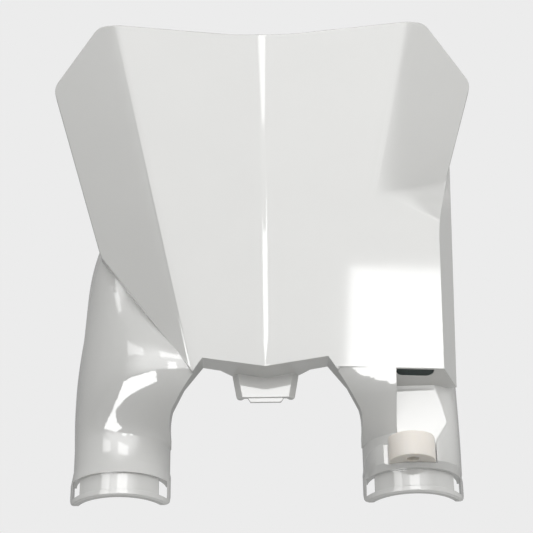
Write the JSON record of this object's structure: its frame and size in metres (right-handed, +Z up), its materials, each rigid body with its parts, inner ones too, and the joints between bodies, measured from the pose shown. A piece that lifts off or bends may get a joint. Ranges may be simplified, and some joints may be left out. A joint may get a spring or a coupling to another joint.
{
  "type": "racing number board",
  "caption": "White moulded front number board for an off-road motorcycle, with a folded face, fork sleeves with strap slots, a hose hood and a nylon hose guide.",
  "frame": {"origin": "midway between the two fork axes, level with the lower rims of the sleeves", "axes": "+Z up along the fork tubes, +X to the right as seen from the front, the front faces -Y"},
  "size_m": [0.2908, 0.1148, 0.3179],
  "materials": {
    "board": "glossy moulded white polypropylene",
    "nylon": "natural nylon, turned, satin",
    "rubber": "soft dark rubber"
  },
  "bodies": {
    "root": {"number_board": "board", "hose_bush": "nylon", "hose_grommet": "rubber"}
  },
  "joints": []
}
